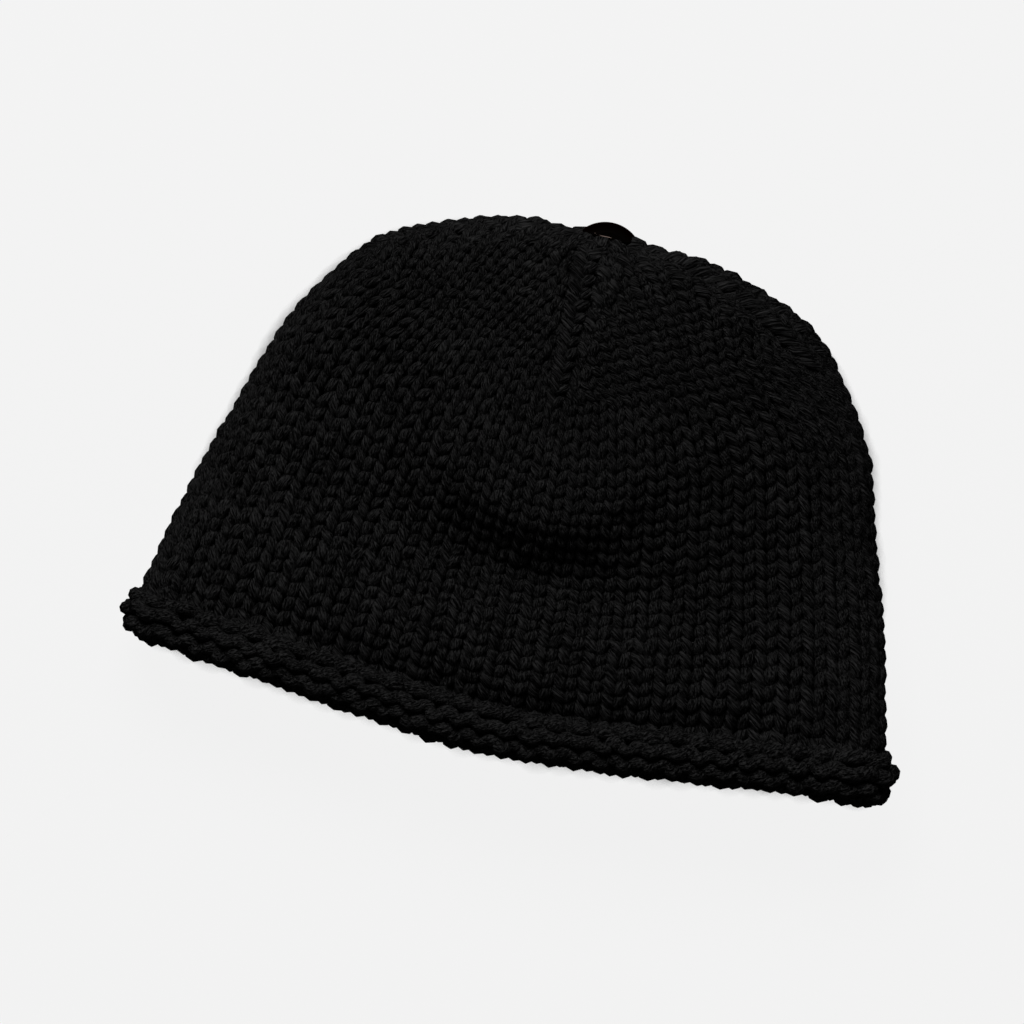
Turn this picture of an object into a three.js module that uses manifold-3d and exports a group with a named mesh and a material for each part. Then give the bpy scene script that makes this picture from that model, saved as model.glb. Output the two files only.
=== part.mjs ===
// A chunky knit beanie with a rolled brim and a domed stud on its crown, lying flat on its back
// layer. Millimetres: +X across the hat, +Y from the mouth to the crown, +Z up from the surface
// that it lies on. Angles are in degrees.

import * as THREE from "three";
import { ParametricGeometry } from "three/addons/geometries/ParametricGeometry.js";
import { mergeVertices } from "three/addons/utils/BufferGeometryUtils.js";
import Module from "manifold-3d";

const wasm = await Module();
wasm.setup();

// Knit body
const BODY_WIDTH = 242; // over both folds, just above the brim
const BODY_LENGTH = 152.3; // from the brim line to the middle of the crown
const WALL = 5.5; // chunky knit fabric
const FOLD_RADIUS = 9.6; // outside radius of the two side folds
const CROWN_PUFF = 21.5; // how far the crown stands above the folds
const DENT_PUFF = 9.5; // what is left of that in the dent across the front
const DENT_SHIFT = -7; // from the middle of the front to the middle of the dent
const POLE_HEIGHT = 18.5; // of the middle of the crown above the surface
const WALES = 64; // columns of stitches round the hat

// Rolled brim
const BRIM_DIAMETER = 17;
const BRIM_DROP = 9.7; // from the brim line down to the middle of the roll, at the front
const BRIM_RISE = 11.6; // how much higher the roll's ends lie than its middle
const BRIM_STACK_GAP = 2.2; // between the front roll and the back roll at the folds
const BRIM_LIFT = 2.3; // extra height of the front roll's middle, where the mouth gapes
const BRIM_PRESSED = 0.3; // how much the roll is flattened where it rests
const BRIM_INNER_SHARE = 0.65; // the roll is flatter where it presses on the knit
const FRONT_TUCK = 2.7; // from the roll's middle to the knit's mid-plane, front layer
const BACK_TUCK = 1.5; // the same for the back layer

// Crown stud and the post that holds it
const STUD_DIAMETER = 18.2;
const STUD_HALF_ANGLE = 48; // between the dome's axis and its edge
const STUD_RIM = 0.8; // height of the straight rim under the dome
const STUD_TILT = 8; // the stud leans up from the surface
const POST_DIAMETER = 3.6;
const POST_HEAD_DIAMETER = 10;
const POST_HEAD_THICKNESS = 1.2;
const POST_REACH = 1.6; // of the post inside the stud

// Decrease lines of the crown
const CROWN_SECTIONS = 4;
const LINE_SHIFT = -1; // wales between the middle of the front and its decrease line
const GROOVE_DEPTH = 1.5;
const RIDGE_HEIGHT = 1.1;
const RIDGE_OFFSET = 5.5; // from the groove to the ridge beside it
const RIDGE_WIDTH = 2.6;

const GAP = 0.3; // between touching pieces

const BODY_ROWS = 28;
const LINING_ROWS = 12;
const BRIM_SLICES = 64;
const BRIM_SIDES = 12;
const STUD_SIDES = 24;

// Sections of the knit body from the brim (0) to the pole (1). front and edge are where a row
// of stitches crosses the middle and the fold, as shares of BODY_LENGTH. half is the row's
// half width, as a share of half of BODY_WIDTH. fold is the fold's radius, as a share of
// FOLD_RADIUS. brim is how much the section follows the stacked rolls, pole how far the back
// layer has risen to the pole. dent and crown are the shares of DENT_PUFF and CROWN_PUFF.
const SECTIONS = [
  { at: 0.0, front: 0.0, edge: 0.086, half: 1.0, fold: 1.0, brim: 1.0, pole: 0.0, dent: 0.0, crown: 0.9 },
  { at: 0.04, front: 0.0415, edge: 0.1387, half: 0.9872, fold: 1.0, brim: 0.8646, pole: 0.0, dent: 0.42, crown: 0.9 },
  { at: 0.079, front: 0.082, edge: 0.19, half: 0.974, fold: 1.0, brim: 0.72, pole: 0.0, dent: 0.62, crown: 0.9 },
  { at: 0.158, front: 0.164, edge: 0.294, half: 0.943, fold: 1.0, brim: 0.34, pole: 0.0, dent: 0.9, crown: 0.9 },
  { at: 0.237, front: 0.238, edge: 0.389, half: 0.91, fold: 1.0, brim: 0.08, pole: 0.0, dent: 0.98, crown: 0.93 },
  { at: 0.316, front: 0.311, edge: 0.483, half: 0.872, fold: 1.0, brim: 0.0, pole: 0.0, dent: 1.0, crown: 0.97 },
  { at: 0.474, front: 0.475, edge: 0.681, half: 0.785, fold: 1.0, brim: 0.0, pole: 0.0, dent: 1.0, crown: 1.0 },
  { at: 0.605, front: 0.616, edge: 0.842, half: 0.659, fold: 1.0, brim: 0.0, pole: 0.0, dent: 1.0, crown: 0.95 },
  { at: 0.684, front: 0.693, edge: 0.903, half: 0.571, fold: 1.07, brim: 0.0, pole: 0.0, dent: 0.8, crown: 0.88 },
  { at: 0.763, front: 0.771, edge: 0.943, half: 0.471, fold: 1.2, brim: 0.0, pole: 0.0, dent: 0.6, crown: 0.75 },
  { at: 0.842, front: 0.849, edge: 0.977, half: 0.352, fold: 1.37, brim: 0.0, pole: 0.03, dent: 0.4, crown: 0.54 },
  { at: 0.921, front: 0.936, edge: 0.997, half: 0.212, fold: 1.43, brim: 0.0, pole: 0.22, dent: 0.2, crown: 0.2 },
  { at: 0.974, front: 0.985, edge: 0.999, half: 0.08, fold: 0.94, brim: 0.0, pole: 0.56, dent: 0.0, crown: 0.02 },
  { at: 1.0, front: 1.0, edge: 1.0, half: 0.0, fold: 0.0, brim: 0.0, pole: 1.0, dent: 0.0, crown: 0.0 },
];
const HEM_END = -0.065; // below the brim line the knit goes on into the roll, as far as this

// The dent across the front: the crown rises out of it round the row at middle, over slope to
// both sides of it. From near to far across the front the slope widens to sideSlope, and towards
// the folds the dent bows up by this share of the rows.
const DENT = { middle: 0.335, slope: 0.07, sideSlope: 0.3, near: 0.16, far: 0.65, bow: 0.25 };
// Rows are smooth arcs near the brim and chevrons between these rows and the pole.
const CHEVRON = { from: 0.45, full: 0.65 };
// The decrease lines start here and have their full depth here.
const LINES = { from: 0.58, full: 0.7 };
const COVER_POWER = 0.9; // how squarely the puff spreads towards the folds
const BRIM_BEND = 0.22; // share of the half width over which the roll turns at its middle
const BRIM_CROWDING = 0.7; // how much closer the roll's slices stand at its two ends

const brimRadius = BRIM_DIAMETER / 2;
const brimHalfStack = brimRadius + BRIM_STACK_GAP / 2;
const brimLow = brimRadius - BRIM_PRESSED;
const brimHigh = brimLow + 2 * brimHalfStack;
const hemLow = brimLow + BACK_TUCK - WALL / 2;
const hemHigh = brimHigh - FRONT_TUCK + WALL / 2;
const hemFold = (hemHigh - hemLow) / 2;

const COLUMNS = ["front", "edge", "half", "fold", "brim", "pole", "dent", "crown"];
const sectionCurve = new THREE.CubicInterpolant(
  SECTIONS.map((section) => section.at),
  SECTIONS.flatMap((section) => COLUMNS.map((name) => section[name])),
  COLUMNS.length,
);

// Sizes of the row of stitches at a share of the way from the brim to the pole.
function rowAt(at) {
  const values = sectionCurve.evaluate(THREE.MathUtils.clamp(at, 0, 1));
  const share = Object.fromEntries(COLUMNS.map((name, i) => [name, values[i]]));
  const half = Math.max(share.half, 0) * (BODY_WIDTH / 2);
  const fold = FOLD_RADIUS * share.fold + (hemFold - FOLD_RADIUS) * share.brim;
  const tucked = THREE.MathUtils.clamp(at / HEM_END, 0, 1);
  return {
    half,
    fold: THREE.MathUtils.clamp(fold, 0, half),
    front: THREE.MathUtils.lerp(share.front * BODY_LENGTH, -BRIM_DROP, tucked),
    edge: THREE.MathUtils.lerp(share.edge * BODY_LENGTH, BRIM_RISE - BRIM_DROP, tucked),
    low: Math.max(hemLow * share.brim, 0) + Math.max(POLE_HEIGHT * share.pole, 0),
    dent: DENT_PUFF * share.dent,
    crown: CROWN_PUFF * share.crown,
  };
}

// A point of a flat loop with round ends: turn 0 is the middle of the front, 0.25 the right
// fold, 0.5 the middle of the back. rise is measured from the loop's mid-height.
function loopPoint(half, fold, turn) {
  const quarter = (((turn % 1) + 1) % 1) * 4;
  const side = quarter < 2 ? 1 : -1;
  const isFront = quarter <= 1 || quarter >= 3;
  const share = 1 - Math.abs(1 - (quarter % 2));
  const straight = half - fold;
  const along = share * (straight + (fold * Math.PI) / 2);
  const bend = fold > 0 ? Math.max(along - straight, 0) / fold : 0;
  const across = Math.min(along, straight) + fold * Math.sin(bend);
  const rise = fold * Math.cos(bend) * (isFront ? 1 : -1);
  return { x: side * across, rise, isFront, out: half > 0 ? Math.min(across / half, 1) : 0 };
}

// The smooth outside of the knit, without the decrease lines.
function skinPoint(at, turn, target) {
  const row = rowAt(at);
  const loop = loopPoint(row.half, row.fold, turn);
  const chevron = THREE.MathUtils.smoothstep(at, CHEVRON.from, CHEVRON.full);
  const arc = Math.sin((loop.out * Math.PI) / 2) ** 2;
  const climb = THREE.MathUtils.lerp(arc, loop.out, chevron);
  const y = THREE.MathUtils.lerp(row.front, row.edge, climb);
  const dentOut = row.half > 0 ? Math.abs(loop.x - DENT_SHIFT) / row.half : 0;
  const dentMiddle = DENT.middle + DENT.bow * dentOut ** 2;
  const widening = THREE.MathUtils.smoothstep(dentOut, DENT.near, DENT.far);
  const dentSlope = THREE.MathUtils.lerp(DENT.slope, DENT.sideSlope, widening);
  const swell = THREE.MathUtils.smoothstep(at, dentMiddle - dentSlope, dentMiddle + dentSlope);
  const cover = Math.max(1 - loop.out ** 2, 0) ** COVER_POWER;
  const puff = loop.isFront ? THREE.MathUtils.lerp(row.dent, row.crown, swell) * cover : 0;
  return target.set(loop.x, y, row.low + row.fold + loop.rise + puff);
}

const STEP_AT = 0.004;
const STEP_TURN = 0.002;

function skinNormal(at, turn) {
  const middle = THREE.MathUtils.clamp(at, HEM_END + STEP_AT, 1 - STEP_AT);
  const up = skinPoint(middle + STEP_AT, turn, new THREE.Vector3());
  up.sub(skinPoint(middle - STEP_AT, turn, new THREE.Vector3()));
  const round = skinPoint(middle, turn + STEP_TURN, new THREE.Vector3());
  round.sub(skinPoint(middle, turn - STEP_TURN, new THREE.Vector3()));
  return round.cross(up).normalize();
}

// Height of the decrease lines above the smooth knit: a groove with a ridge on its right.
function lineRelief(at, turn) {
  const depth = THREE.MathUtils.smoothstep(at, LINES.from, LINES.full);
  if (depth === 0 || at >= 1) return 0;
  const row = rowAt(at);
  const sectionLength = (4 * (row.half - row.fold) + 2 * Math.PI * row.fold) / CROWN_SECTIONS;
  const place = (turn - LINE_SHIFT / WALES) * CROWN_SECTIONS;
  const offset = (place - Math.round(place)) * sectionLength;
  const bump = (distance) => Math.exp(-((distance / RIDGE_WIDTH) ** 2));
  return depth * (RIDGE_HEIGHT * bump(offset - RIDGE_OFFSET) - GROOVE_DEPTH * bump(offset));
}

function outsidePoint(at, turn, target) {
  if (at >= 1) return skinPoint(1, 0, target);
  const normal = skinNormal(at, turn);
  skinPoint(at, turn, target).addScaledVector(normal, lineRelief(at, turn));
  target.z = Math.max(target.z, 0);
  return target;
}

function insidePoint(at, turn, target) {
  if (at >= 1) return skinPoint(1, 0, target).add(new THREE.Vector3(0, -WALL, 0));
  return skinPoint(at, turn, target).addScaledVector(skinNormal(at, turn), -WALL);
}

// A closed geometry as a solid, with its seam merged and its collapsed faces dropped.
function solidFrom(geometry) {
  const bare = new THREE.BufferGeometry();
  bare.setAttribute("position", geometry.getAttribute("position"));
  bare.setIndex(geometry.index);
  const merged = mergeVertices(bare, 1e-3);
  const faces = [];
  for (let i = 0; i < merged.index.count; i += 3) {
    const [a, b, c] = [0, 1, 2].map((corner) => merged.index.getX(i + corner));
    if (a !== b && b !== c && c !== a) faces.push(a, b, c);
  }
  const vertProperties = new Float32Array(merged.attributes.position.array);
  const mesh = new wasm.Mesh({ numProp: 3, vertProperties, triVerts: new Uint32Array(faces) });
  return new wasm.Manifold(mesh);
}

function geometryFrom(solid) {
  const mesh = solid.getMesh();
  const geometry = new THREE.BufferGeometry();
  geometry.setAttribute("position", new THREE.BufferAttribute(mesh.vertProperties, 3));
  geometry.setIndex(new THREE.BufferAttribute(mesh.triVerts, 1));
  return geometry;
}

// The knit wall: up the outside from the brim to the pole, down the inside, and round the rim.
function bodyGeometry() {
  const rows = [];
  for (let i = 0; i <= BODY_ROWS; i++) {
    rows.push([outsidePoint, THREE.MathUtils.lerp(HEM_END, 1, i / BODY_ROWS)]);
  }
  for (let i = LINING_ROWS; i >= 0; i--) {
    rows.push([insidePoint, THREE.MathUtils.lerp(HEM_END, 1, i / LINING_ROWS)]);
  }
  rows.push(rows[0]);
  const last = rows.length - 1;
  const point = (turn, along, target) => {
    const [place, at] = rows[Math.round(along * last)];
    place(at, turn === 1 ? 0 : turn, target);
  };
  return new ParametricGeometry(point, WALES, last);
}

// The middle of the roll, as one closed loop round the mouth.
function brimCentre(turn, target) {
  const loop = loopPoint((BODY_WIDTH - WALL) / 2, brimHalfStack, turn);
  const gape = loop.isFront ? BRIM_LIFT * (1 - loop.out ** 2) : 0;
  const bent = Math.hypot(loop.out, BRIM_BEND) - BRIM_BEND;
  const y = (BRIM_RISE * bent) / (Math.hypot(1, BRIM_BEND) - BRIM_BEND) - BRIM_DROP;
  return target.set(loop.x, y, brimLow + brimHalfStack + loop.rise + gape);
}

function brimGeometry(radius) {
  const centre = new THREE.Vector3();
  const tangent = new THREE.Vector3();
  const before = new THREE.Vector3();
  const towardsCrown = new THREE.Vector3(0, 1, 0);
  const outwards = new THREE.Vector3();
  const sideways = new THREE.Vector3();
  const point = (along, round, target) => {
    const crowding = (BRIM_CROWDING * Math.sin(along * 4 * Math.PI)) / (4 * Math.PI);
    const turn = along === 1 ? 0 : along + crowding;
    const angle = (round === 1 ? 0 : -round) * 2 * Math.PI;
    brimCentre(turn, centre);
    brimCentre(turn - STEP_TURN, before);
    brimCentre(turn + STEP_TURN, tangent).sub(before).normalize();
    outwards.crossVectors(tangent, towardsCrown).normalize();
    sideways.crossVectors(outwards, tangent);
    const out = Math.sin(angle);
    target.copy(centre).addScaledVector(sideways, radius * Math.cos(angle));
    target.addScaledVector(outwards, radius * out * (out < 0 ? BRIM_INNER_SHARE : 1));
    target.z = Math.max(target.z, 0);
  };
  return new ParametricGeometry(point, BRIM_SLICES, BRIM_SIDES);
}

// The stud's dome on a straight rim, with a blind hole for its post. The axis is +Y and the
// seat is at 0.
function studGeometry() {
  const halfAngle = THREE.MathUtils.degToRad(STUD_HALF_ANGLE);
  const domeRadius = STUD_DIAMETER / 2 / Math.sin(halfAngle);
  const holeRadius = POST_DIAMETER / 2 + GAP;
  const domeCentre = STUD_RIM - domeRadius * Math.cos(halfAngle);
  const profile = [
    new THREE.Vector2(0, POST_REACH + GAP),
    new THREE.Vector2(holeRadius, POST_REACH + GAP),
    new THREE.Vector2(holeRadius, 0),
    new THREE.Vector2(STUD_DIAMETER / 2 - STUD_RIM / 2, 0),
    new THREE.Vector2(STUD_DIAMETER / 2, STUD_RIM / 2),
  ];
  const domeSteps = 7;
  for (let i = domeSteps; i > 0; i--) {
    const angle = (halfAngle * i) / domeSteps;
    const height = domeCentre + domeRadius * Math.cos(angle);
    profile.push(new THREE.Vector2(domeRadius * Math.sin(angle), height));
  }
  profile.push(new THREE.Vector2(0, domeCentre + domeRadius));
  return new THREE.LatheGeometry(profile, STUD_SIDES);
}

// The post: a flat head inside the hat and a stem through the knit into the stud.
function postGeometry(extra) {
  const stem = POST_DIAMETER / 2 + extra;
  const head = POST_HEAD_DIAMETER / 2 + extra;
  const headTop = -GAP - WALL - GAP + extra;
  const headBottom = headTop - POST_HEAD_THICKNESS - 2 * extra;
  const profile = [
    new THREE.Vector2(0, headBottom),
    new THREE.Vector2(head, headBottom),
    new THREE.Vector2(head, headTop),
    new THREE.Vector2(stem, headTop),
    new THREE.Vector2(stem, POST_REACH),
    new THREE.Vector2(0, POST_REACH),
  ];
  return new THREE.LatheGeometry(profile, STUD_SIDES / 2);
}

// The room that the stud and its post take in the knit, with the gap all round.
function studRoom() {
  const radius = STUD_DIAMETER / 2 + GAP;
  const seat = new THREE.CylinderGeometry(radius, radius, WALL, STUD_SIDES);
  seat.translate(0, WALL / 2 - GAP, 0);
  return [seat, postGeometry(GAP)];
}

const studSeat = new THREE.Matrix4().makeRotationX(THREE.MathUtils.degToRad(STUD_TILT));
studSeat.setPosition(0, BODY_LENGTH + GAP, POLE_HEIGHT);

const materials = {
  yarn: new THREE.MeshStandardMaterial({ color: 0x0c0c0d, roughness: 0.95, metalness: 0 }),
  rolledYarn: new THREE.MeshStandardMaterial({ color: 0x0d0d0e, roughness: 0.97, metalness: 0 }),
  stud: new THREE.MeshStandardMaterial({ color: 0x17120f, roughness: 0.18, metalness: 1 }),
  post: new THREE.MeshStandardMaterial({ color: 0x6b6a68, roughness: 0.4, metalness: 1 }),
};

function piece(name, geometry, material) {
  const mesh = new THREE.Mesh(geometry, material);
  mesh.name = name;
  return mesh;
}

function knitBody() {
  let solid = solidFrom(bodyGeometry());
  solid = solid.subtract(solidFrom(brimGeometry(brimRadius + GAP)));
  for (const room of studRoom()) {
    solid = solid.subtract(solidFrom(room.applyMatrix4(studSeat)));
  }
  return piece("knit_body", geometryFrom(solid), materials.yarn);
}

const rolledBrim = piece("rolled_brim", brimGeometry(brimRadius), materials.rolledYarn);
const crownStud = piece("crown_stud", studGeometry(), materials.stud);
const studPost = piece("stud_post", postGeometry(0), materials.post);

const studGroup = new THREE.Group();
studGroup.applyMatrix4(studSeat);
studGroup.add(crownStud, studPost);

const beanie = new THREE.Group();
beanie.add(knitBody(), rolledBrim, studGroup);

// The origin is on the surface, under the middle of the hat's length.
const extent = new THREE.Box3().setFromObject(beanie, true);
beanie.position.y = -(extent.min.y + extent.max.y) / 2;

export default beanie;
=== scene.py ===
# A chunky knit beanie with a rolled brim and a domed stud, lying flat on its back layer.
# Metres. +X runs across the hat, +Y from the mouth to the crown, +Z up from the floor.
# Every course of the knit is one closed loop of yarn, looped stitch by stitch round the hat.

import math

import bmesh
import bpy
import mathutils
import numpy as np
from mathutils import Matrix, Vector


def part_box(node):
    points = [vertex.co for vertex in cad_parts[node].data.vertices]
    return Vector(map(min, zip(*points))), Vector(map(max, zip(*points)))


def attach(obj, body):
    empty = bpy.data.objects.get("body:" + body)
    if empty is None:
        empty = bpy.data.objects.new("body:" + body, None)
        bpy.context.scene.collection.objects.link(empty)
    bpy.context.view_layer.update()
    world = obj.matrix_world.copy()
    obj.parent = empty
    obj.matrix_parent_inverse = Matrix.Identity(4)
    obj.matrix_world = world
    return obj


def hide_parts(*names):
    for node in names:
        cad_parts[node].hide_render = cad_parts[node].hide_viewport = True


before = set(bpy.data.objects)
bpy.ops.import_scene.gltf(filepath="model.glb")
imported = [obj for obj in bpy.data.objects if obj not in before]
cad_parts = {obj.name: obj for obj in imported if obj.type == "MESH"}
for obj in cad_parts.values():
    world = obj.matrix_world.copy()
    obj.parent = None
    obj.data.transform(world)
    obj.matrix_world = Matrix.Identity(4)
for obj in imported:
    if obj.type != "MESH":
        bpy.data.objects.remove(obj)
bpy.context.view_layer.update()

MM = 0.001

# Sizes of the hat
BODY_WIDTH = 242 * MM
BODY_LENGTH = 152.3 * MM
WALL = 5.5 * MM
FOLD_RADIUS = 9.6 * MM
CROWN_PUFF = 21.5 * MM
DENT_PUFF = 9.5 * MM
DENT_SHIFT = -7 * MM
POLE_HEIGHT = 18.5 * MM
WALES = 64
SECTION_COUNT = 4
LINE_SHIFT = -5.8 * MM  # from the middle of the front to the column of its decrease line
LINE_CLOSE = 134 * MM  # rows shorter than this close up on the pole, and the shift with them
FRONT_SURPLUS = 0.02  # how far the crown's side columns are drawn to the front, in turns

BRIM_RADIUS = 8.5 * MM
BRIM_DROP = 9.7 * MM
BRIM_RISE = 11.6 * MM
BRIM_STACK_GAP = 2.2 * MM
BRIM_LIFT = 2.3 * MM
BRIM_PRESSED = 0.3 * MM
BRIM_BEND = 0.22
FRONT_TUCK = 2.7 * MM
BACK_TUCK = 1.5 * MM

# Sections of the body from the brim (0) to the pole (1), as shares of the sizes above.
SECTION_COLUMNS = ("at", "front", "edge", "half", "fold", "brim", "pole", "dent", "crown")
SECTIONS = np.array([
    (0.000, 0.000, 0.086, 1.000, 1.00, 1.00, 0.00, 0.00, 0.90),
    (0.040, 0.0415, 0.1387, 0.9872, 1.00, 0.8646, 0.00, 0.42, 0.90),
    (0.079, 0.082, 0.190, 0.974, 1.00, 0.72, 0.00, 0.62, 0.90),
    (0.158, 0.164, 0.294, 0.943, 1.00, 0.34, 0.00, 0.90, 0.90),
    (0.237, 0.238, 0.389, 0.910, 1.00, 0.08, 0.00, 0.98, 0.93),
    (0.316, 0.311, 0.483, 0.872, 1.00, 0.00, 0.00, 1.00, 0.97),
    (0.474, 0.475, 0.681, 0.785, 1.00, 0.00, 0.00, 1.00, 1.00),
    (0.605, 0.616, 0.842, 0.659, 1.00, 0.00, 0.00, 1.00, 0.95),
    (0.684, 0.693, 0.903, 0.571, 1.07, 0.00, 0.00, 0.80, 0.88),
    (0.763, 0.771, 0.943, 0.471, 1.20, 0.00, 0.00, 0.60, 0.75),
    (0.842, 0.849, 0.977, 0.352, 1.37, 0.00, 0.03, 0.40, 0.54),
    (0.921, 0.936, 0.997, 0.212, 1.43, 0.00, 0.22, 0.20, 0.20),
    (0.974, 0.985, 0.999, 0.080, 0.94, 0.00, 0.56, 0.00, 0.02),
    (1.000, 1.000, 1.000, 0.000, 0.00, 0.00, 1.00, 0.00, 0.00),
])
HEM_END = -0.065  # where the roll begins, below the brim line

# The crown rises out of the dent round the row at middle, over slope to both sides of it. From
# near to far across the front the slope widens to side slope, and towards the folds the dent
# bows up by a share of the rows.
DENT = {
    "middle": 0.335,
    "slope": 0.07,
    "side slope": 0.3,
    "near": 0.16,
    "far": 0.65,
    "bow": 0.25,
}
CHEVRON = {"from": 0.45, "full": 0.65}  # where the courses change from bows to chevrons
LINES = {"from": 0.58, "full": 0.70}  # where the relief of the decrease lines sets in
COVER_POWER = 0.9  # how fully the puffed front spreads towards the folds
POLE_LIMIT = 0.996  # no yarn lies nearer to the pole
WIDTH_LIMIT = 0.97  # the stitches nearer to the pole are as wide as on this row

# Stitches
COURSES = 38  # from the brim line to the pole
CROWN_START = 23  # the first course of the crown, where the decreases begin
HEM_COURSES = 3  # courses between the brim line and the roll
ROLL_COURSES = 6
ROLL_PITCH = 3.9 * MM  # of the middle of the cloth, whose outer side is longer
COURSE_PITCH = BODY_LENGTH / COURSES
POINTS_PER_STITCH = 16
YARN_BEVEL = 2  # gives the yarn a section of eight sides
YARN_SHARE = 0.235  # yarn radius as a share of the width of a wale
YARN_MOST = 1.95 * MM
YARN_SINK = 0.5 * MM  # from the middle of the wall inwards to the middle of the yarn
FLOOR_GAP = 0.02 * MM  # between the floor and the yarn that is pressed flat on it
PLUMPNESS = 0.12  # how much thicker the yarn is in the part of a loop that shows
LINE_SURPLUS = 0.35  # how much wider than a stitch the column of a decrease line is
LINE_EASE = 2  # courses before and after the first decrease over which it widens
DECREASE_NUDGE = 0.25  # how far a decrease draws the stitches of its course aside, in stitches
LOOP_SWAY = 0.19  # how far a loop's legs lean out, as a share of its width
LINE_SWAY = 0.14  # the extra lean of the loops in the column of a decrease line
LINE_SWELL = 0.16  # the extra thickness of the yarn in that column
DECREASE_SWELL = 0.30  # the same in two stitches knit together
LOOP_REACH = 0.82  # half the height of a loop, in courses
FOOT_LIFT = 0.8  # how the legs' lower ends stand over the upper ends of the loops below
LOOP_DEPTH = 1.1  # how far the legs stand forward, in yarn radii
FOLD_FROM = 0.9  # from here to the fold (1) the loops are pressed flatter
FOLD_FLATTENS = 0.7  # share of their depth that the fold takes away
FOLD_LIFT = 1.3 * MM  # how far the yarn stands out at the folds of the upper half
FOLD_LIFTED = (0.3, 0.5, 0.62, 0.9)  # where that begins, is full, lessens and ends on the way up

# The roll shows the back of the knit, so the heads and feet of its loops stand forward.
ROLL_REACH = 0.66  # half the height of a loop, in courses
ROLL_SWELL = 1.12  # how much thicker the yarn is where the roll lets it spread
ROLL_LOOSENESS = 1.5  # how much more the loops wander
ROLL_SWAY = 0.14  # how far their legs lean out, as a share of their width
ROLL_DEPTH = 0.98  # how far heads and feet stand forward, in yarn radii
HEAD_LIFT = 0.2  # how far the heads stand out over the feet, in yarn radii
ROLL_OUTER = 4.6 * MM  # from the middle of the roll to the middle of its cloth
ROLL_INNER = 2.75 * MM  # the same on the side that faces the hollow
ROLL_RAISE = 1.2 * MM  # how far the yarn of the roll is pushed up against the hem
ROLL_PLACES = 721  # places measured along its section
END_TURN = 0.25  # the end of the roll that is thicker, at the right fold
END_SWELL = 0.25  # how much thicker it is
END_REACH = 0.035  # how far the swelling reaches along the roll, in turns

# How much one leg of a stitch differs from the next: shares of a stitch, a course, the radius.
WANDER = {"place": 0.025, "sway": 0.035, "reach": 0.05, "depth": 0.16, "swell": 0.07}

brim_half_stack = BRIM_RADIUS + BRIM_STACK_GAP / 2
brim_low = BRIM_RADIUS - BRIM_PRESSED
brim_high = brim_low + 2 * brim_half_stack
hem_low = brim_low + BACK_TUCK - WALL / 2
hem_high = brim_high - FRONT_TUCK + WALL / 2
hem_fold = (hem_high - hem_low) / 2
hem_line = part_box("rolled_brim")[0][1] + BRIM_DROP + BRIM_RADIUS  # y of the brim line
rng = np.random.default_rng(11)  # every random draw of the stitches comes from here


def soft_step(value, low, high):
    share = np.clip((value - low) / (high - low), 0, 1)
    return share * share * (3 - 2 * share)


def blend(a, b, share):
    return a + (b - a) * share


def section_values(at):
    """The columns of SECTIONS at a share of the way up, on a smooth curve through the rows."""
    stations = SECTIONS[:, 0]
    at = np.clip(at, 0, 1)
    after = np.clip(np.searchsorted(stations, at, side="right"), 1, len(stations) - 1)
    start, end = stations[after - 1], stations[after]
    share = (at - start) / (end - start)
    has_before = after >= 2
    has_beyond = after < len(stations) - 1
    before = np.where(has_before, after - 2, after)
    beyond = np.where(has_beyond, np.minimum(after + 1, len(stations) - 1), after - 1)
    half_step = (end - start) / 2
    pull_before = half_step / (start - stations[before])
    pull_beyond = half_step / (stations[beyond] - end)
    square, cube = share ** 2, share ** 3
    weights = (
        (before, -pull_before * cube + 2 * pull_before * square - pull_before * share),
        (after - 1, (1 + pull_before) * cube - (1.5 + 2 * pull_before) * square
         + (pull_before - 0.5) * share + 1),
        (after, -(1 + pull_beyond) * cube + (1.5 + pull_beyond) * square + 0.5 * share),
        (beyond, pull_beyond * (cube - square)),
    )
    values = sum(weight[..., None] * SECTIONS[row] for row, weight in weights)
    return {name: values[..., i] for i, name in enumerate(SECTION_COLUMNS)}


def row_at(at):
    """Sizes of the row of stitches at a share of the way from the brim to the pole."""
    share = section_values(at)
    half = np.maximum(share["half"], 0) * BODY_WIDTH / 2
    fold = FOLD_RADIUS * share["fold"] + (hem_fold - FOLD_RADIUS) * share["brim"]
    tucked = np.clip(at / HEM_END, 0, 1)
    return {
        "half": half,
        "fold": np.clip(fold, 0, half),
        "front": blend(share["front"] * BODY_LENGTH, -BRIM_DROP, tucked),
        "edge": blend(share["edge"] * BODY_LENGTH, BRIM_RISE - BRIM_DROP, tucked),
        "low": np.maximum(hem_low * share["brim"], 0) + np.maximum(POLE_HEIGHT * share["pole"], 0),
        "dent": DENT_PUFF * share["dent"],
        "crown": CROWN_PUFF * share["crown"],
    }


def loop_point(half, fold, turn):
    """A flat loop with round ends. Turn 0 is the middle of the front, 0.25 the right fold."""
    quarter = np.mod(turn, 1) * 4
    side = np.where(quarter < 2, 1, -1)
    is_front = (quarter <= 1) | (quarter >= 3)
    share = 1 - np.abs(1 - np.mod(quarter, 2))
    straight = half - fold
    along = share * (straight + fold * math.pi / 2)
    bend = np.maximum(along - straight, 0) / np.maximum(fold, 1e-9)
    across = np.minimum(along, straight) + fold * np.sin(bend)
    rise = fold * np.cos(bend) * np.where(is_front, 1, -1)
    out = np.minimum(across / np.maximum(half, 1e-9), 1)
    return side * across, rise, is_front, out


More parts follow.
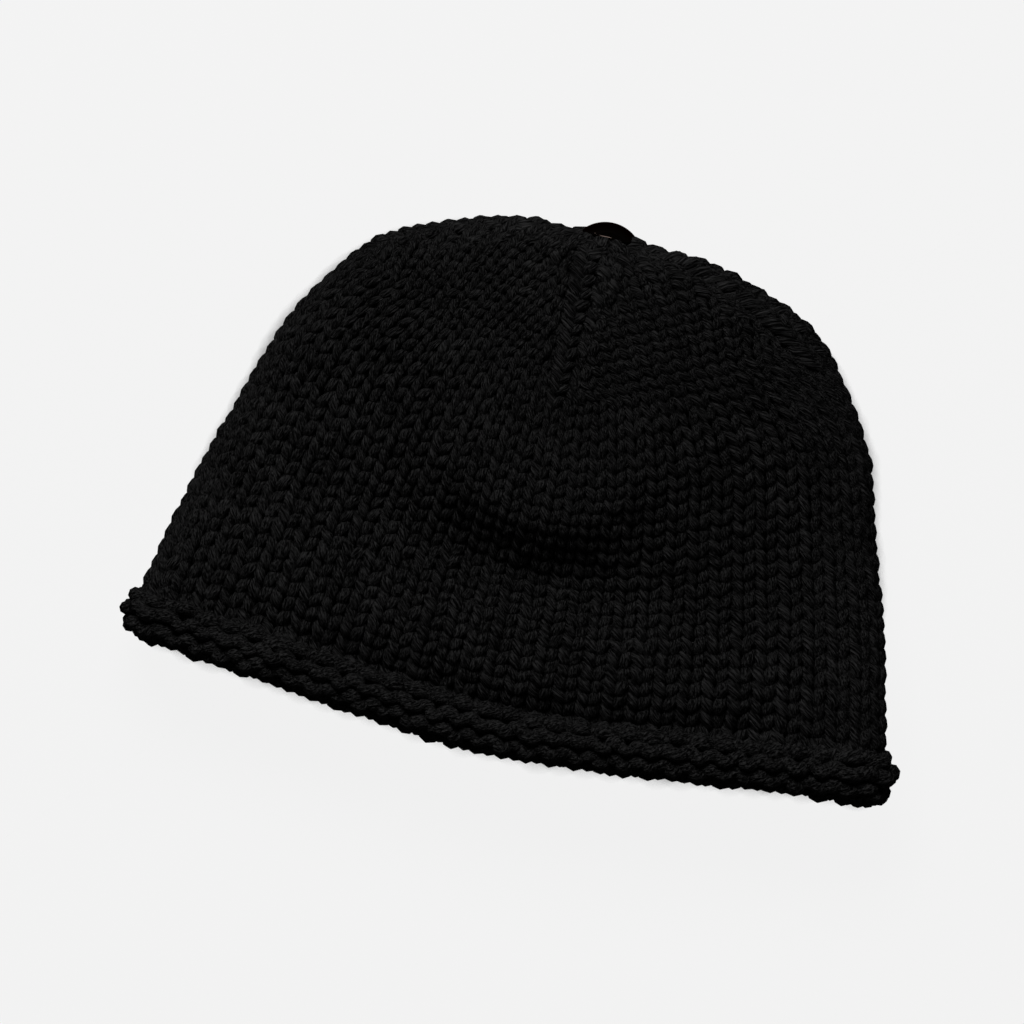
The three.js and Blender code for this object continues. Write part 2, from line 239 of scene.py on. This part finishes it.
def skin_point(at, turn):
    """The smooth outside of the knit, measured from the brim line."""
    row = row_at(at)
    x, rise, is_front, out = loop_point(row["half"], row["fold"], turn)
    chevron = soft_step(at, CHEVRON["from"], CHEVRON["full"])
    climb = blend(np.sin(out * math.pi / 2) ** 2, out, chevron)
    y = blend(row["front"], row["edge"], climb)
    dent_out = np.abs(x - DENT_SHIFT) / np.maximum(row["half"], 1e-9)
    dent_middle = DENT["middle"] + DENT["bow"] * dent_out ** 2
    widening = soft_step(dent_out, DENT["near"], DENT["far"])
    dent_slope = blend(DENT["slope"], DENT["side slope"], widening)
    swell = soft_step(at, dent_middle - dent_slope, dent_middle + dent_slope)
    cover = np.maximum(1 - out ** 2, 0) ** COVER_POWER
    puff = np.where(is_front, blend(row["dent"], row["crown"], swell) * cover, 0)
    return np.stack([x, y + hem_line, row["low"] + row["fold"] + rise + puff], axis=-1)


def unit(vectors):
    return vectors / np.maximum(np.linalg.norm(vectors, axis=-1, keepdims=True), 1e-12)


STEP_AT = 0.004  # steps over which the slope of the knit is measured
STEP_TURN = 0.002


def skin_normal(at, turn):
    middle = np.clip(at, HEM_END + STEP_AT, 1 - STEP_AT)
    up = skin_point(middle + STEP_AT, turn) - skin_point(middle - STEP_AT, turn)
    around = skin_point(middle, turn + STEP_TURN) - skin_point(middle, turn - STEP_TURN)
    return unit(np.cross(around, up))


def brim_centre(turn):
    x, rise, is_front, out = loop_point((BODY_WIDTH - WALL) / 2, brim_half_stack, turn)
    gape = np.where(is_front, BRIM_LIFT * (1 - out ** 2), 0)
    bent = np.hypot(out, BRIM_BEND) - BRIM_BEND
    y = BRIM_RISE * bent / (math.hypot(1, BRIM_BEND) - BRIM_BEND) - BRIM_DROP
    return np.stack([x, y + hem_line, brim_low + brim_half_stack + rise + gape], axis=-1)


# The middle of the cloth on its way round the roll: down the inner side, round the mouth side,
# over the outside and back in on the crown side.
roll_angles = np.radians(np.linspace(-90, -450, ROLL_PLACES))
roll_reach = np.where(np.sin(roll_angles) < 0, ROLL_INNER, ROLL_OUTER)
roll_across = ROLL_OUTER * np.cos(roll_angles)
roll_path = np.stack([roll_across, roll_reach * np.sin(roll_angles)], axis=-1)
roll_steps = np.linalg.norm(np.diff(roll_path, axis=0), axis=-1)
roll_lengths = np.concatenate([[0], np.cumsum(roll_steps)])


def end_swell(turn):
    return END_SWELL * np.exp(-((np.mod(turn, 1) - END_TURN) / END_REACH) ** 2)


def roll_point(length, turn):
    """The middle of the rolled cloth, and the direction its knit side faces."""
    before, after = brim_centre(turn - STEP_TURN), brim_centre(turn + STEP_TURN)
    tangent = unit(after - before)
    outwards = unit(np.cross(tangent, np.array([0.0, 1.0, 0.0])))
    sideways = np.cross(outwards, tangent)
    angle = np.interp(length, roll_lengths, roll_angles)
    across = ROLL_OUTER * np.cos(angle)
    reach = np.where(np.sin(angle) < 0, ROLL_INNER, ROLL_OUTER)
    out = reach * np.sin(angle)
    centre = brim_centre(turn) + np.array([0, ROLL_RAISE, 0])
    thicker = (1 + end_swell(turn))[..., None]
    point = centre + thicker * (across[..., None] * sideways + out[..., None] * outwards)
    inwards = -(np.cos(angle) / ROLL_OUTER)[..., None] * sideways
    inwards = inwards - (np.sin(angle) / reach)[..., None] * outwards
    return point, unit(inwards)


# Ridges and grooves beside the column of each decrease line: offset, height, width.
LINE_RELIEF = (
    (0.0 * MM, 0.9 * MM, 2.8 * MM),
    (4.6 * MM, -2.0 * MM, 1.5 * MM),
    (8.6 * MM, 1.2 * MM, 3.0 * MM),
    (-4.6 * MM, -1.5 * MM, 1.5 * MM),
)
LINE_LEAST = 0.1 * MM  # least width of a ridge, where the rows close up


def row_length(at):
    row = row_at(at)
    return 4 * (row["half"] - row["fold"]) + 2 * math.pi * row["fold"]


def laid(at, stitch_turn):
    """Where a share of the way round, counted in stitches, lies on the flattened hat."""
    shift = LINE_SHIFT / np.maximum(row_length(at), LINE_CLOSE)
    drawn = FRONT_SURPLUS * soft_step(at, CHEVRON["from"], LINES["full"])
    return stitch_turn + shift - drawn * np.sin(2 * math.pi * stitch_turn)


def line_relief(at, stitch_turn):
    depth = soft_step(at, LINES["from"], LINES["full"])
    place = stitch_turn * SECTION_COUNT
    length = row_length(at)
    offset = (place - np.round(place)) * length / SECTION_COUNT
    close = np.minimum(length / LINE_CLOSE, 1)
    relief = 0
    for middle, height, width in LINE_RELIEF:
        away = (offset - middle * close) / (width * close + LINE_LEAST)
        relief = relief + height * np.exp(-away ** 2)
    return depth * relief * close


def cloth_point(course, stitch_turn, depth):
    """A point of the cloth at a height in courses, raised towards its knit side by depth."""
    at = np.minimum(course / COURSES, POLE_LIMIT)
    wall_at = np.maximum(at, HEM_END)
    turn = laid(wall_at, stitch_turn)
    normal = skin_normal(wall_at, turn)
    lift = line_relief(wall_at, stitch_turn) - WALL / 2 - YARN_SINK
    wall = skin_point(wall_at, turn) + normal * (lift + depth)[..., None]

    length = np.maximum(HEM_END - at, 0) * COURSES * ROLL_PITCH
    rolled, inwards = roll_point(length, turn)
    hem_at = np.full_like(at, HEM_END)
    wall_foot = skin_point(hem_at, turn) - skin_normal(hem_at, turn) * (WALL / 2 + YARN_SINK)
    roll_start, _ = roll_point(np.zeros_like(at), turn)
    joined = np.clip(1 - length / (2 * COURSE_PITCH), 0, 1) ** 2
    rolled = rolled + (wall_foot - roll_start) * joined[..., None] + inwards * depth[..., None]
    return np.where((at < HEM_END)[..., None], rolled, wall)


def stitches_in_section(course):
    return WALES // SECTION_COUNT - max(course - CROWN_START, 0)


def is_right_decrease(course):
    return (course - CROWN_START) % 2 == 1


def place_knots(course):
    """Where the stitches of a course lie in their section: index, and share of the section."""
    count = stitches_in_section(course)
    inner = np.arange(1, count, dtype=float)
    index = np.concatenate([[0, 0.5], inner, [count - 0.5, count]])
    widening = soft_step(course, CROWN_START - LINE_EASE, CROWN_START + LINE_EASE)
    surplus = LINE_SURPLUS * float(widening)
    nudge = 0.0
    if course > CROWN_START:
        nudge = DECREASE_NUDGE if is_right_decrease(course) else -DECREASE_NUDGE
    first, last = 0.5 + surplus / 2, count - 0.5 + surplus / 2
    between = inner + surplus / 2 + nudge
    share = np.concatenate([[0, first], between, [last, count + surplus]])
    return index, share / (count + surplus)


def parent_knots(course):
    """Index of each stitch of a course, and of the stitch below that it hangs on."""
    count = stitches_in_section(course)
    below = stitches_in_section(course - 1)
    index = np.arange(count + 1, dtype=float)
    if below == count:
        return index, index
    parent = index + 1 if is_right_decrease(course) else index.copy()
    parent[0], parent[-1] = 0, below
    merged = 1 if is_right_decrease(course) else count - 1
    if 0 < merged < count:
        parent[merged] = merged + 0.5
    return index, parent


def turn_of(course, place, rise):
    """The turn at a place of a course (in stitches), where rise is the height in courses."""
    count = stitches_in_section(course)
    section = np.floor(place / count)
    local = place - section * count
    own = np.interp(local, *place_knots(course))
    lower = np.interp(local, *parent_knots(course))
    lower = np.interp(lower, *place_knots(course - 1))
    if course + 1 < COURSES:
        index, parent = parent_knots(course + 1)
        upper = np.interp(np.interp(local, parent, index), *place_knots(course + 1))
    else:
        upper = own
    share = own + np.where(rise < 0, (lower - own) * -rise, (upper - own) * rise)
    return (section + share) / SECTION_COUNT


def wander(count, spread):
    """A random value for each leg of each stitch of a course, with smooth changes between."""
    values = rng.normal(0, spread, 2 * count)
    legs = np.arange(2 * count) + 0.5
    place = np.arange(count * POINTS_PER_STITCH) * 2 / POINTS_PER_STITCH
    return np.interp(place, legs, values, period=2 * count)


def yarn_course(course):
    """Points and radii of one course of yarn."""
    in_section = stitches_in_section(course)
    count = in_section * SECTION_COUNT
    phase = np.arange(count * POINTS_PER_STITCH) * 2 * math.pi / POINTS_PER_STITCH
    stitch = np.floor(phase / (2 * math.pi)).astype(int)
    at_middle = (course + 0.5) / COURSES
    width = row_length(np.array(np.clip(at_middle, 0, WIDTH_LIMIT))) / count
    radius = min(YARN_SHARE * float(width), YARN_MOST)
    is_rolled = course < -HEM_COURSES
    looseness = ROLL_LOOSENESS if is_rolled else 1
    changes = {name: wander(count, spread * looseness) for name, spread in WANDER.items()}

    on_line = (np.mod(stitch, in_section) == 0) & (course >= CROWN_START)
    sway = ROLL_SWAY if is_rolled else LOOP_SWAY + LINE_SWAY * on_line
    sway = sway + changes["sway"]
    place = phase / (2 * math.pi) - 0.5 + sway * np.sin(2 * phase) + changes["place"]
    reach = ROLL_REACH if is_rolled else LOOP_REACH
    rise = -(reach + changes["reach"]) * np.cos(phase)
    turn = turn_of(course, place, rise)

    if is_rolled:
        depth = HEAD_LIFT * np.cos(phase) - ROLL_DEPTH * np.cos(2 * phase)
    else:
        folded = soft_step(np.abs(np.sin(2 * math.pi * turn)), FOLD_FROM, 1)
        pressed = LOOP_DEPTH * FOLD_FLATTENS * folded
        depth = pressed - (LOOP_DEPTH - pressed) * np.cos(2 * phase)
        depth = depth + FOOT_LIFT * np.cos(phase) * np.sin(phase) ** 2
    depth = radius * (depth + changes["depth"])
    if not is_rolled:
        begins, full, lessens, ends = FOLD_LIFTED
        lifted = soft_step(at_middle, begins, full) - soft_step(at_middle, lessens, ends)
        depth = depth + FOLD_LIFT * lifted * folded
    radius = radius * (ROLL_SWELL if is_rolled else 1)
    points = cloth_point(course + 0.5 + rise, turn, depth)

    plump = PLUMPNESS if is_rolled else -PLUMPNESS
    swell = 1 + changes["swell"] + plump * np.cos(2 * phase) + LINE_SWELL * on_line
    if is_rolled:
        swell = swell + end_swell(turn)
    if course >= CROWN_START and is_right_decrease(course):
        swell = swell + DECREASE_SWELL * (np.mod(stitch, in_section) == 1)
    return points, radius * swell


def yarn_piece(name, courses, material):
    """One mesh of several courses of yarn, each a closed tube, with the stitches along U."""
    curve = bpy.data.curves.new(name, "CURVE")
    curve.dimensions = "3D"
    curve.bevel_depth = 1.0
    curve.bevel_resolution = YARN_BEVEL
    counts = []
    for course in courses:
        points, radii = yarn_course(course)
        spline = curve.splines.new("POLY")
        spline.points.add(len(points) - 1)
        spline.points.foreach_set("co", np.insert(points, 3, 1, axis=1).ravel())
        spline.points.foreach_set("radius", radii)
        spline.use_cyclic_u = True
        counts.append(len(points))
    holder = bpy.data.objects.new(name + "_path", curve)
    mesh = bpy.data.meshes.new_from_object(holder)
    mesh.name = name
    bpy.data.objects.remove(holder)
    bpy.data.curves.remove(curve)

    places = np.empty(len(mesh.vertices) * 3)
    mesh.vertices.foreach_get("co", places)
    places = places.reshape(-1, 3)
    places[:, 2] = np.maximum(places[:, 2], FLOOR_GAP)
    mesh.vertices.foreach_set("co", places.ravel())

    sides = len(mesh.vertices) // sum(counts)
    ends = np.cumsum(counts) * sides
    corners = np.empty(len(mesh.loops), dtype=np.int32)
    mesh.loops.foreach_get("vertex_index", corners)
    stitch_counts = np.array(counts) / POINTS_PER_STITCH
    stretch = stitch_counts[np.searchsorted(ends, corners, side="right")]
    layer = mesh.uv_layers[0]
    uv = np.empty(len(mesh.loops) * 2)
    layer.data.foreach_get("uv", uv)
    uv = uv.reshape(-1, 2)
    uv[:, 0] *= stretch
    layer.data.foreach_set("uv", uv.ravel())
    mesh.polygons.foreach_set("use_smooth", np.ones(len(mesh.polygons), dtype=bool))
    mesh.materials.clear()
    mesh.materials.append(material)
    piece = bpy.data.objects.new(name, mesh)
    bpy.context.scene.collection.objects.link(piece)
    return piece


# Materials
PLY_TURNS = (13.0, 8.0)  # of the plies' pattern: along one stitch, and round the yarn
PLY_RELIEF = 0.15  # height of the plies beside that of the hairs
HAIR_LENGTHS = 25.0  # how many hairs' lengths lie along one stitch
HAIR_RING = 4.2  # radius of the yarn, measured in widths of a hair
HAIR_DRIFT = 400.0  # how fast the hairs differ from place to place on the hat
HAIR_RELIEF = 1.6 * MM
HAIR_TINT = (0.415, 0.625)  # the noise at which a hair is darkest and lightest
DARK_HAIR = (0.0303, 0.0303, 0.0318, 1)  # beside the shade of the lightest hairs
LIGHT_HAIR = (1, 0.988, 1, 1)
PATCH_SCALE = 90.0
PATCH_SHARE = 0.1  # of the tint; the rest is the hairs'
YARN_SHADE = 0.0693  # of the lightest hairs
YARN_ROUGHNESS = 0.7
YARN_SHEEN = 0.08
HAZE_SCALE = 350.0
HAZE_RANGE = (0.8, 1.3)  # least and greatest roughness beside the metal's own


def new_material(name):
    material = bpy.data.materials.new(name)
    material.use_nodes = True
    nodes = material.node_tree.nodes
    return material, material.node_tree, nodes["Principled BSDF"]


def effect_group(name, inputs, outputs):
    """A shader node group with named sockets: its tree, its input node and its output node."""
    tree = bpy.data.node_groups.new(name, "ShaderNodeTree")
    for socket_name, kind in inputs.items():
        tree.interface.new_socket(socket_name, in_out="INPUT", socket_type=kind)
    for socket_name, kind in outputs.items():
        tree.interface.new_socket(socket_name, in_out="OUTPUT", socket_type=kind)
    return tree, tree.nodes.new("NodeGroupInput"), tree.nodes.new("NodeGroupOutput")


def place_group(tree, group):
    node = tree.nodes.new("ShaderNodeGroup")
    node.node_tree = group
    return node


def math_node(tree, operation, *values):
    """A math node fed with numbers and sockets; gives its output socket."""
    node = tree.nodes.new("ShaderNodeMath")
    node.operation = operation
    for socket, value in zip(node.inputs, values):
        if isinstance(value, bpy.types.NodeSocket):
            tree.links.new(value, socket)
        else:
            socket.default_value = value
    return node.outputs[0]


def noise_node(tree, vector, scale, detail, roughness=0.5):
    """Noise over a place in space; gives its value."""
    node = tree.nodes.new("ShaderNodeTexNoise")
    node.inputs["Scale"].default_value = scale
    node.inputs["Detail"].default_value = detail
    node.inputs["Roughness"].default_value = roughness
    tree.links.new(vector, node.inputs["Vector"])
    return node.outputs["Fac"]


def build_woollen_hairs():
    """Hairs and plies along a yarn whose stitches lie along U: their colour and relief."""
    tree, given, result = effect_group(
        "woollen_hairs",
        {"Shade": "NodeSocketFloat"},
        {"Color": "NodeSocketColor", "Normal": "NodeSocketVector"},
    )
    nodes, links = tree.nodes, tree.links
    uv = nodes.new("ShaderNodeUVMap")
    split = nodes.new("ShaderNodeSeparateXYZ")
    links.new(uv.outputs["UV"], split.inputs["Vector"])
    along, around = split.outputs["X"], split.outputs["Y"]

    twist = math_node(tree, "MULTIPLY", along, PLY_TURNS[0])
    twist = math_node(tree, "MULTIPLY_ADD", around, PLY_TURNS[1], twist)
    twist = math_node(tree, "MULTIPLY", twist, 2 * math.pi)
    plies = math_node(tree, "SINE", twist)

    # The hairs are noise on a helix round the yarn, so they have no seam.
    angle = math_node(tree, "MULTIPLY", twist, 1 / PLY_TURNS[1])
    helix = nodes.new("ShaderNodeCombineXYZ")
    lengths = math_node(tree, "MULTIPLY", along, HAIR_LENGTHS)
    cosine = math_node(tree, "COSINE", angle)
    sine = math_node(tree, "SINE", angle)
    links.new(lengths, helix.inputs["X"])
    links.new(math_node(tree, "MULTIPLY", cosine, HAIR_RING), helix.inputs["Y"])
    links.new(math_node(tree, "MULTIPLY", sine, HAIR_RING), helix.inputs["Z"])
    coords = nodes.new("ShaderNodeTexCoord")
    drift = nodes.new("ShaderNodeVectorMath")
    drift.operation = "MULTIPLY_ADD"
    drift.inputs[1].default_value = (HAIR_DRIFT, HAIR_DRIFT, HAIR_DRIFT)
    links.new(coords.outputs["Object"], drift.inputs[0])
    links.new(helix.outputs["Vector"], drift.inputs[2])
    hairs = noise_node(tree, drift.outputs["Vector"], scale=1.0, detail=2.0, roughness=0.6)
    patches = noise_node(tree, coords.outputs["Object"], PATCH_SCALE, detail=2.0)

    bump = nodes.new("ShaderNodeBump")
    bump.inputs["Distance"].default_value = HAIR_RELIEF
    height = math_node(tree, "MULTIPLY_ADD", plies, PLY_RELIEF, hairs)
    links.new(height, bump.inputs["Height"])
    links.new(bump.outputs["Normal"], result.inputs["Normal"])

    tint = nodes.new("ShaderNodeValToRGB")
    dark, light = tint.color_ramp.elements
    dark.position, light.position = HAIR_TINT
    dark.color, light.color = DARK_HAIR, LIGHT_HAIR
    patchy = math_node(tree, "MULTIPLY", patches, PATCH_SHARE)
    mixed = math_node(tree, "MULTIPLY_ADD", hairs, 1 - PATCH_SHARE, patchy)
    links.new(mixed, tint.inputs["Fac"])
    shaded = nodes.new("ShaderNodeVectorMath")
    shaded.operation = "SCALE"
    links.new(tint.outputs["Color"], shaded.inputs[0])
    links.new(given.outputs["Shade"], shaded.inputs["Scale"])
    links.new(shaded.outputs["Vector"], result.inputs["Color"])
    return tree


def build_polishing_haze():
    """Fine unevenness of a polished or satin metal, round the roughness that it is given."""
    roughness = {"Roughness": "NodeSocketFloat"}
    tree, given, result = effect_group("polishing_haze", roughness, roughness)
    coords = tree.nodes.new("ShaderNodeTexCoord")
    haze = noise_node(tree, coords.outputs["Object"], HAZE_SCALE, detail=4.0)
    spread = tree.nodes.new("ShaderNodeMapRange")
    for limit, share in zip(("To Min", "To Max"), HAZE_RANGE):
        value = math_node(tree, "MULTIPLY", given.outputs["Roughness"], share)
        tree.links.new(value, spread.inputs[limit])
    tree.links.new(haze, spread.inputs["Value"])
    tree.links.new(spread.outputs["Result"], result.inputs["Roughness"])
    return tree


woollen_hairs = build_woollen_hairs()
polishing_haze = build_polishing_haze()


def yarn_material(name, shade):
    material, tree, shader = new_material(name)
    hairs = place_group(tree, woollen_hairs)
    hairs.inputs["Shade"].default_value = shade
    tree.links.new(hairs.outputs["Color"], shader.inputs["Base Color"])
    tree.links.new(hairs.outputs["Normal"], shader.inputs["Normal"])
    shader.inputs["Roughness"].default_value = YARN_ROUGHNESS
    shader.inputs["Specular IOR Level"].default_value = YARN_SHEEN
    return material


def metal_material(name, colour, edge, roughness):
    material, tree, shader = new_material(name)
    haze = place_group(tree, polishing_haze)
    haze.inputs["Roughness"].default_value = roughness
    tree.links.new(haze.outputs["Roughness"], shader.inputs["Roughness"])
    shader.inputs["Base Color"].default_value = (*colour, 1)
    shader.inputs["Metallic"].default_value = 1.0
    shader.inputs["Specular Tint"].default_value = (*edge, 1)
    return material


knit_yarn = yarn_material("knit_yarn", YARN_SHADE)
brim_yarn = yarn_material("brim_yarn", YARN_SHADE)
polished_metal = metal_material("polished_dark_metal", colour=(0.042, 0.031, 0.027),
                                edge=(0.42, 0.25, 0.19), roughness=0.12)
steel = metal_material("satin_steel", colour=(0.35, 0.345, 0.34), edge=(1, 1, 1), roughness=0.35)

# Pieces
LOWER_START = 6  # courses at which one piece of the knit ends and the next begins
UPPER_START = 15
knit_bands = {
    "knit_above_brim": range(-HEM_COURSES, LOWER_START),
    "knit_lower_side": range(LOWER_START, UPPER_START),
    "knit_upper_side": range(UPPER_START, CROWN_START),
    "knit_crown": range(CROWN_START, COURSES),
}
for name, courses in knit_bands.items():
    band = yarn_piece(name, courses, knit_yarn)
    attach(band, "root")
    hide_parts("knit_body")

roll = yarn_piece("knit_roll", range(-HEM_COURSES - ROLL_COURSES, -HEM_COURSES), brim_yarn)
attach(roll, "root")
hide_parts("rolled_brim")

STUD_RADIUS = 9.1 * MM
STUD_HALF_ANGLE = math.radians(48)  # of the dome, seen from the middle of its sphere
STUD_RIM = 0.8 * MM  # thickness of its rounded rim
STUD_BACK = 1.9 * MM  # depth of the hole that takes the post
STUD_HOLE = 2.1 * MM
STUD_TILT = math.radians(8)
STUD_GAP = 0.3 * MM
STUD_MERGE = 0.001 * MM
STUD_STEPS = 96
DOME_STEPS = 24
RIM_STEPS = 6


def stud_profile():
    """Half a section of the stud: distance from its axis, and height over its seat."""
    dome_radius = STUD_RADIUS / math.sin(STUD_HALF_ANGLE)
    dome_centre = STUD_RIM - dome_radius * math.cos(STUD_HALF_ANGLE)
    bulge = STUD_RIM / 2
    points = [(0, STUD_BACK), (STUD_HOLE, STUD_BACK), (STUD_HOLE, 0)]
    for i in range(RIM_STEPS + 1):
        angle = math.radians(-90 + 90 * i / RIM_STEPS)
        away = STUD_RADIUS - bulge + bulge * math.cos(angle)
        points.append((away, bulge + bulge * math.sin(angle)))
    for i in range(DOME_STEPS):
        angle = STUD_HALF_ANGLE * (1 - i / DOME_STEPS)
        height = dome_centre + dome_radius * math.cos(angle)
        points.append((dome_radius * math.sin(angle), height))
    points.append((0, dome_centre + dome_radius))
    return points


def spun_stud(name, material):
    shape = bmesh.new()
    corners = [shape.verts.new((away, height, 0)) for away, height in stud_profile()]
    edges = [shape.edges.new(pair) for pair in zip(corners, corners[1:])]
    bmesh.ops.spin(shape, geom=corners + edges, cent=(0, 0, 0), axis=(0, 1, 0),
                   angle=2 * math.pi, steps=STUD_STEPS, use_merge=True)
    bmesh.ops.remove_doubles(shape, verts=shape.verts, dist=STUD_MERGE)
    bmesh.ops.recalc_face_normals(shape, faces=shape.faces)
    seat = mathutils.Vector((0, hem_line + BODY_LENGTH + STUD_GAP, POLE_HEIGHT))
    tilt = mathutils.Matrix.Rotation(STUD_TILT, 4, "X")
    place = mathutils.Matrix.Translation(seat) @ tilt
    bmesh.ops.transform(shape, matrix=place, verts=shape.verts)
    mesh = bpy.data.meshes.new(name)
    shape.to_mesh(mesh)
    shape.free()
    mesh.polygons.foreach_set("use_smooth", [True] * len(mesh.polygons))
    mesh.materials.append(material)
    piece = bpy.data.objects.new(name, mesh)
    bpy.context.scene.collection.objects.link(piece)
    return piece


stud = spun_stud("domed_stud", polished_metal)
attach(stud, "root")
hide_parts("crown_stud")

post_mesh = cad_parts["stud_post"].data
post_mesh.materials.clear()
post_mesh.materials.append(steel)

# Floor, light and camera
FLOOR_HALF = 3.0
FLOOR_GREY = 0.10
FLOOR_ROUGHNESS = 0.8
FLOOR_GLOW = 0.869
PAINTED_SHADOW_REACH = 6 * MM  # how far the painted shadow darkens the floor's glow beside the hat
PAINTED_SHADOW_POWER = 2.0
PAINTED_SHADOW_SAMPLES = 4
floor_mesh = bpy.data.meshes.new("floor")
shape = bmesh.new()
bmesh.ops.create_grid(shape, x_segments=1, y_segments=1, size=FLOOR_HALF)
shape.to_mesh(floor_mesh)
shape.free()
floor = bpy.data.objects.new("floor", floor_mesh)
bpy.context.scene.collection.objects.link(floor)
floor_material, floor_tree, floor_shader = new_material("pale_floor")
floor_shader.inputs["Base Color"].default_value = (FLOOR_GREY, FLOOR_GREY, FLOOR_GREY, 1)
floor_shader.inputs["Roughness"].default_value = FLOOR_ROUGHNESS
floor_shader.inputs["Specular IOR Level"].default_value = 0.0
floor_shader.inputs["Emission Color"].default_value = (1, 1, 1, 1)
# The floor's glow is darkened by ambient occlusion near and under the hat: a painted shadow, not
# one cast by the lights.
seen = floor_tree.nodes.new("ShaderNodeLightPath")
shade = floor_tree.nodes.new("ShaderNodeAmbientOcclusion")
shade.samples = PAINTED_SHADOW_SAMPLES
shade.inputs["Distance"].default_value = PAINTED_SHADOW_REACH
glow = math_node(floor_tree, "MULTIPLY", seen.outputs["Is Camera Ray"], FLOOR_GLOW)
# Painted shadow: the occlusion, raised to a power, dims the glow beside and under the hat.
painted_shadow_share = math_node(floor_tree, "POWER", shade.outputs["AO"], PAINTED_SHADOW_POWER)
glow = math_node(floor_tree, "MULTIPLY", painted_shadow_share, glow)
floor_tree.links.new(glow, floor_shader.inputs["Emission Strength"])
floor_mesh.materials.append(floor_material)

LEAN = math.radians(12.7)  # the hat lies turned clockwise in the picture
IMAGE_WIDTH = 327 * MM  # width of the picture on the hat
VIEW_CENTRE = (-11.3 * MM, hem_line + 60.2 * MM)
VIEW_HEIGHT = 2.2
FOCUS_HEIGHT = 20 * MM  # height over the floor at which the picture has that width
SENSOR_WIDTH = 36

camera_data = bpy.data.cameras.new("camera")
camera_data.sensor_width = SENSOR_WIDTH
camera_data.lens = SENSOR_WIDTH * (VIEW_HEIGHT - FOCUS_HEIGHT) / IMAGE_WIDTH
camera = bpy.data.objects.new("camera", camera_data)
camera.location = (*VIEW_CENTRE, VIEW_HEIGHT)
camera.rotation_euler = (0, 0, LEAN)
bpy.context.scene.collection.objects.link(camera)
bpy.context.scene.camera = camera


def soft_light(name, direction, distance, size, power):
    """An area light in a direction given in the picture: right, up and towards the viewer."""
    right, up, near = direction
    x = right * math.cos(LEAN) - up * math.sin(LEAN)
    y = right * math.sin(LEAN) + up * math.cos(LEAN)
    towards = np.array([x, y, near])
    data = bpy.data.lights.new(name, "AREA")
    data.shape = "RECTANGLE"
    data.size, data.size_y = size
    data.energy = power
    light = bpy.data.objects.new(name, data)
    place = towards / np.linalg.norm(towards) * distance
    light.location = place
    light.rotation_euler = mathutils.Vector(-place).to_track_quat("-Z", "Y").to_euler()
    bpy.context.scene.collection.objects.link(light)
    return light


soft_light("window", (-0.15, 1.0, 0.95), distance=1.5, size=(1.0, 0.6), power=7.7)
soft_light("glint", (-0.45, 1.0, 0.09), distance=1.2, size=(0.03, 0.12), power=0.15)

FILL_LIGHT = 0.022
world = bpy.data.worlds.new("studio")
world.use_nodes = True
background = world.node_tree.nodes["Background"]
background.inputs["Color"].default_value = (1, 1, 1, 1)
background.inputs["Strength"].default_value = FILL_LIGHT
bpy.context.scene.world = world
bpy.context.scene.view_settings.view_transform = "Standard"
